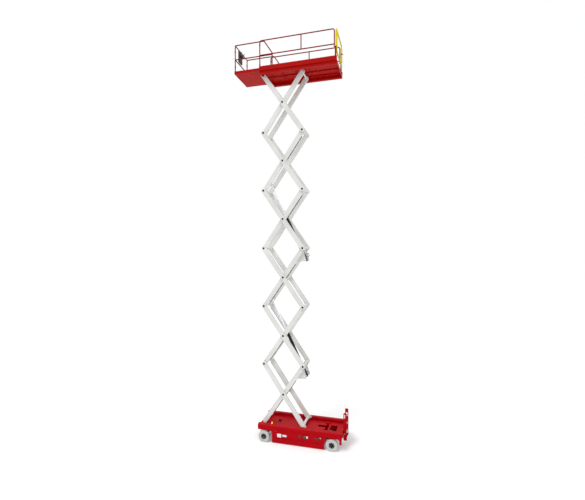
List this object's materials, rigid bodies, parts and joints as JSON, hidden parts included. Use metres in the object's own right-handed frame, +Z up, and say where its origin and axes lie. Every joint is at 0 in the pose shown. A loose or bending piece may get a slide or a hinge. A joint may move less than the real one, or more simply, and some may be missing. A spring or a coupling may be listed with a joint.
{
  "type": "electric scissor lift",
  "caption": "Electric slab scissor lift standing fully raised: red chassis and guarded platform, pale scissor arms, front deck rolled out.",
  "frame": {"origin": "on the floor under the middle of the whole machine's bounding box, deck rolled out", "axes": "+X towards the entry ladder, +Y towards the far side, away from the ground controls, +Z up"},
  "size_m": [3.987, 1.269, 14.29],
  "materials": {
    "red_paint": "satin",
    "arm_paint": "satin",
    "yellow_paint": "satin",
    "black_paint": "satin",
    "grey_tyre": "matte",
    "chrome_rod": "polished",
    "zinc_steel": "satin",
    "black_plastic": "matte",
    "battery_case": "matte",
    "hose_rubber": "matte",
    "amber_lens": "gloss"
  },
  "bodies": {
    "chassis": {"chassis_frame": "red_paint", "front_axle": "red_paint", "rear_drive_axle": "black_paint", "battery_pack": "battery_case", "beacon": "amber_lens", "entry_ladder": "red_paint"},
    "near_door": {"near_side_door": "red_paint", "ground_control_panel": "red_paint"},
    "far_door": {"far_side_door": "red_paint"},
    "near_guard": {"near_pothole_guard": "red_paint"},
    "far_guard": {"far_pothole_guard": "red_paint"},
    "near_knuckle": {"near_steering_knuckle": "red_paint"},
    "far_knuckle": {"far_steering_knuckle": "red_paint"},
    "tie_rod": {"tie_rod": "zinc_steel"},
    "front_near_wheel": {"front_near_tyre": "grey_tyre", "front_near_hub": "black_paint"},
    "front_far_wheel": {"front_far_tyre": "grey_tyre", "front_far_hub": "black_paint"},
    "rear_near_wheel": {"rear_near_tyre": "grey_tyre", "rear_near_hub": "black_paint"},
    "rear_far_wheel": {"rear_far_tyre": "grey_tyre", "rear_far_hub": "black_paint"},
    "inner_1": {"inner_arms_1": "arm_paint", "inner_hose_1": "hose_rubber"},
    "outer_1": {"outer_arms_1": "arm_paint", "outer_hose_1": "hose_rubber"},
    "inner_2": {"inner_arms_2": "arm_paint", "inner_hose_2": "hose_rubber"},
    "outer_2": {"outer_arms_2": "arm_paint", "outer_hose_2": "hose_rubber"},
    "inner_3": {"inner_arms_3": "arm_paint", "inner_hose_3": "hose_rubber"},
    "outer_3": {"outer_arms_3": "arm_paint"},
    "inner_4": {"inner_arms_4": "arm_paint", "inner_hose_4": "hose_rubber"},
    "outer_4": {"outer_arms_4": "arm_paint"},
    "inner_5": {"inner_arms_5": "arm_paint", "inner_hose_5": "hose_rubber"},
    "outer_5": {"outer_arms_5": "arm_paint"},
    "inner_6": {"inner_arms_6": "arm_paint"},
    "outer_6": {"outer_arms_6": "arm_paint"},
    "lower_barrel": {"lower_lift_barrel": "black_paint"},
    "lower_rod": {"lower_lift_rod": "chrome_rod"},
    "upper_barrel": {"upper_lift_barrel": "black_paint"},
    "upper_rod": {"upper_lift_rod": "chrome_rod"},
    "platform": {"platform_deck": "red_paint", "platform_guardrails": "red_paint"},
    "extension": {"extension_deck": "red_paint", "extension_guardrails": "red_paint", "platform_control_box": "black_plastic"},
    "gate": {"entry_gate": "yellow_paint"}
  },
  "joints": [
    {"name": "near_steer", "type": "hinge", "parent": "chassis", "child": "near_knuckle", "pos_m": [-0.8965, -0.44, 0.203], "axis": [0, 0, 1], "range_deg": [-38, 38]},
    {"name": "far_steer", "type": "hinge", "parent": "chassis", "child": "far_knuckle", "pos_m": [-0.8965, 0.44, 0.203], "axis": [0, 0, 1], "range_deg": [-38, 38]},
    {"name": "tie_rod_pivot", "type": "hinge", "parent": "near_knuckle", "child": "tie_rod", "pos_m": [-0.7465, -0.44, 0.163], "axis": [0, 0, 1], "range_deg": [-38, 38]},
    {"name": "front_near_spin", "type": "hinge", "parent": "near_knuckle", "child": "front_near_wheel", "pos_m": [-0.8965, -0.571, 0.203], "axis": [0, 1, 0], "continuous": true},
    {"name": "front_far_spin", "type": "hinge", "parent": "far_knuckle", "child": "front_far_wheel", "pos_m": [-0.8965, 0.571, 0.203], "axis": [0, 1, 0], "continuous": true},
    {"name": "rear_near_spin", "type": "hinge", "parent": "chassis", "child": "rear_near_wheel", "pos_m": [1.5335, -0.571, 0.203], "axis": [0, 1, 0], "continuous": true},
    {"name": "rear_far_spin", "type": "hinge", "parent": "chassis", "child": "rear_far_wheel", "pos_m": [1.5335, 0.571, 0.203], "axis": [0, 1, 0], "continuous": true},
    {"name": "near_door_hinge", "type": "hinge", "parent": "chassis", "child": "near_door", "pos_m": [-0.4875, -0.615, 0.357], "axis": [0, 0, -1], "range_deg": [0, 85]},
    {"name": "far_door_hinge", "type": "hinge", "parent": "chassis", "child": "far_door", "pos_m": [-0.4875, 0.615, 0.357], "axis": [0, 0, 1], "range_deg": [0, 85]},
    {"name": "near_guard_hinge", "type": "hinge", "parent": "chassis", "child": "near_guard", "pos_m": [0.3185, -0.593, 0.188], "axis": [1, 0, 0], "range_deg": [0, 75]},
    {"name": "far_guard_hinge", "type": "hinge", "parent": "chassis", "child": "far_guard", "pos_m": [0.3185, 0.593, 0.188], "axis": [-1, 0, 0], "range_deg": [0, 75]},
    {"name": "lift", "type": "hinge", "parent": "chassis", "child": "inner_1", "pos_m": [-0.9545, 0, 0.632], "axis": [0, -1, 0], "range_deg": [-51, 0]},
    {"name": "centre_pivot_1", "type": "hinge", "parent": "inner_1", "child": "outer_1", "pos_m": [-0.23436, 0, 1.67201], "axis": [0, -1, 0], "range_deg": [0, 102]},
    {"name": "knuckle_pivot_1", "type": "hinge", "parent": "outer_1", "child": "inner_2", "pos_m": [-0.9545, 0, 2.71202], "axis": [0, -1, 0], "range_deg": [-102, 0]},
    {"name": "centre_pivot_2", "type": "hinge", "parent": "inner_2", "child": "outer_2", "pos_m": [-0.23436, 0, 3.75204], "axis": [0, -1, 0], "range_deg": [0, 102]},
    {"name": "knuckle_pivot_2", "type": "hinge", "parent": "outer_2", "child": "inner_3", "pos_m": [-0.9545, 0, 4.79205], "axis": [0, -1, 0], "range_deg": [-102, 0]},
    {"name": "centre_pivot_3", "type": "hinge", "parent": "inner_3", "child": "outer_3", "pos_m": [-0.23436, 0, 5.83206], "axis": [0, -1, 0], "range_deg": [0, 102]},
    {"name": "knuckle_pivot_3", "type": "hinge", "parent": "outer_3", "child": "inner_4", "pos_m": [-0.9545, 0, 6.87207], "axis": [0, -1, 0], "range_deg": [-102, 0]},
    {"name": "centre_pivot_4", "type": "hinge", "parent": "inner_4", "child": "outer_4", "pos_m": [-0.23436, 0, 7.91209], "axis": [0, -1, 0], "range_deg": [0, 102]},
    {"name": "knuckle_pivot_4", "type": "hinge", "parent": "outer_4", "child": "inner_5", "pos_m": [-0.9545, 0, 8.9521], "axis": [0, -1, 0], "range_deg": [-102, 0]},
    {"name": "centre_pivot_5", "type": "hinge", "parent": "inner_5", "child": "outer_5", "pos_m": [-0.23436, 0, 9.99211], "axis": [0, -1, 0], "range_deg": [0, 102]},
    {"name": "knuckle_pivot_5", "type": "hinge", "parent": "outer_5", "child": "inner_6", "pos_m": [-0.9545, 0, 11.03212], "axis": [0, -1, 0], "range_deg": [-102, 0]},
    {"name": "centre_pivot_6", "type": "hinge", "parent": "inner_6", "child": "outer_6", "pos_m": [-0.23436, 0, 12.07213], "axis": [0, -1, 0], "range_deg": [0, 102]},
    {"name": "platform_pivot", "type": "hinge", "parent": "outer_6", "child": "platform", "pos_m": [-0.9545, 0, 13.11215], "axis": [0, -1, 0], "range_deg": [-51, 0]},
    {"name": "lower_barrel_pivot", "type": "hinge", "parent": "inner_1", "child": "lower_barrel", "pos_m": [0.5247, 0, 2.2922], "axis": [0, -1, 0], "range_deg": [0, 100.84]},
    {"name": "lower_rod_slide", "type": "slide", "parent": "lower_barrel", "child": "lower_rod", "axis": [-0.4275, 0, 0.904], "range_m": [-1.0696, 0]},
    {"name": "upper_barrel_pivot", "type": "hinge", "parent": "inner_3", "child": "upper_barrel", "pos_m": [0.5247, 0, 6.45225], "axis": [0, -1, 0], "range_deg": [0, 100.84]},
    {"name": "upper_rod_slide", "type": "slide", "parent": "upper_barrel", "child": "upper_rod", "axis": [-0.4275, 0, 0.904], "range_m": [-1.0696, 0]},
    {"name": "deck_extension", "type": "slide", "parent": "platform", "child": "extension", "axis": [1, 0, 0], "range_m": [0, 0.96]},
    {"name": "gate_hinge", "type": "hinge", "parent": "platform", "child": "gate", "pos_m": [1.7445, -0.555, 13.97015], "axis": [0, 0, 1], "range_deg": [0, 85]}
  ],
  "couplings": [
    {"joint": "far_steer", "follows": "near_steer", "ratio": 1},
    {"joint": "tie_rod_pivot", "follows": "near_steer", "ratio": -1},
    {"joint": "centre_pivot_1", "follows": "lift", "ratio": -2},
    {"joint": "knuckle_pivot_1", "follows": "lift", "ratio": 2},
    {"joint": "centre_pivot_2", "follows": "lift", "ratio": -2},
    {"joint": "knuckle_pivot_2", "follows": "lift", "ratio": 2},
    {"joint": "centre_pivot_3", "follows": "lift", "ratio": -2},
    {"joint": "knuckle_pivot_3", "follows": "lift", "ratio": 2},
    {"joint": "centre_pivot_4", "follows": "lift", "ratio": -2},
    {"joint": "knuckle_pivot_4", "follows": "lift", "ratio": 2},
    {"joint": "centre_pivot_5", "follows": "lift", "ratio": -2},
    {"joint": "knuckle_pivot_5", "follows": "lift", "ratio": 2},
    {"joint": "centre_pivot_6", "follows": "lift", "ratio": -2},
    {"joint": "platform_pivot", "follows": "lift", "ratio": 1},
    {"joint": "lower_barrel_pivot", "follows": "lift", "ratio": -1.977},
    {"joint": "lower_rod_slide", "follows": "lift", "m_per_rad": 1.201},
    {"joint": "upper_barrel_pivot", "follows": "lift", "ratio": -1.977},
    {"joint": "upper_rod_slide", "follows": "lift", "m_per_rad": 1.201}
  ]
}
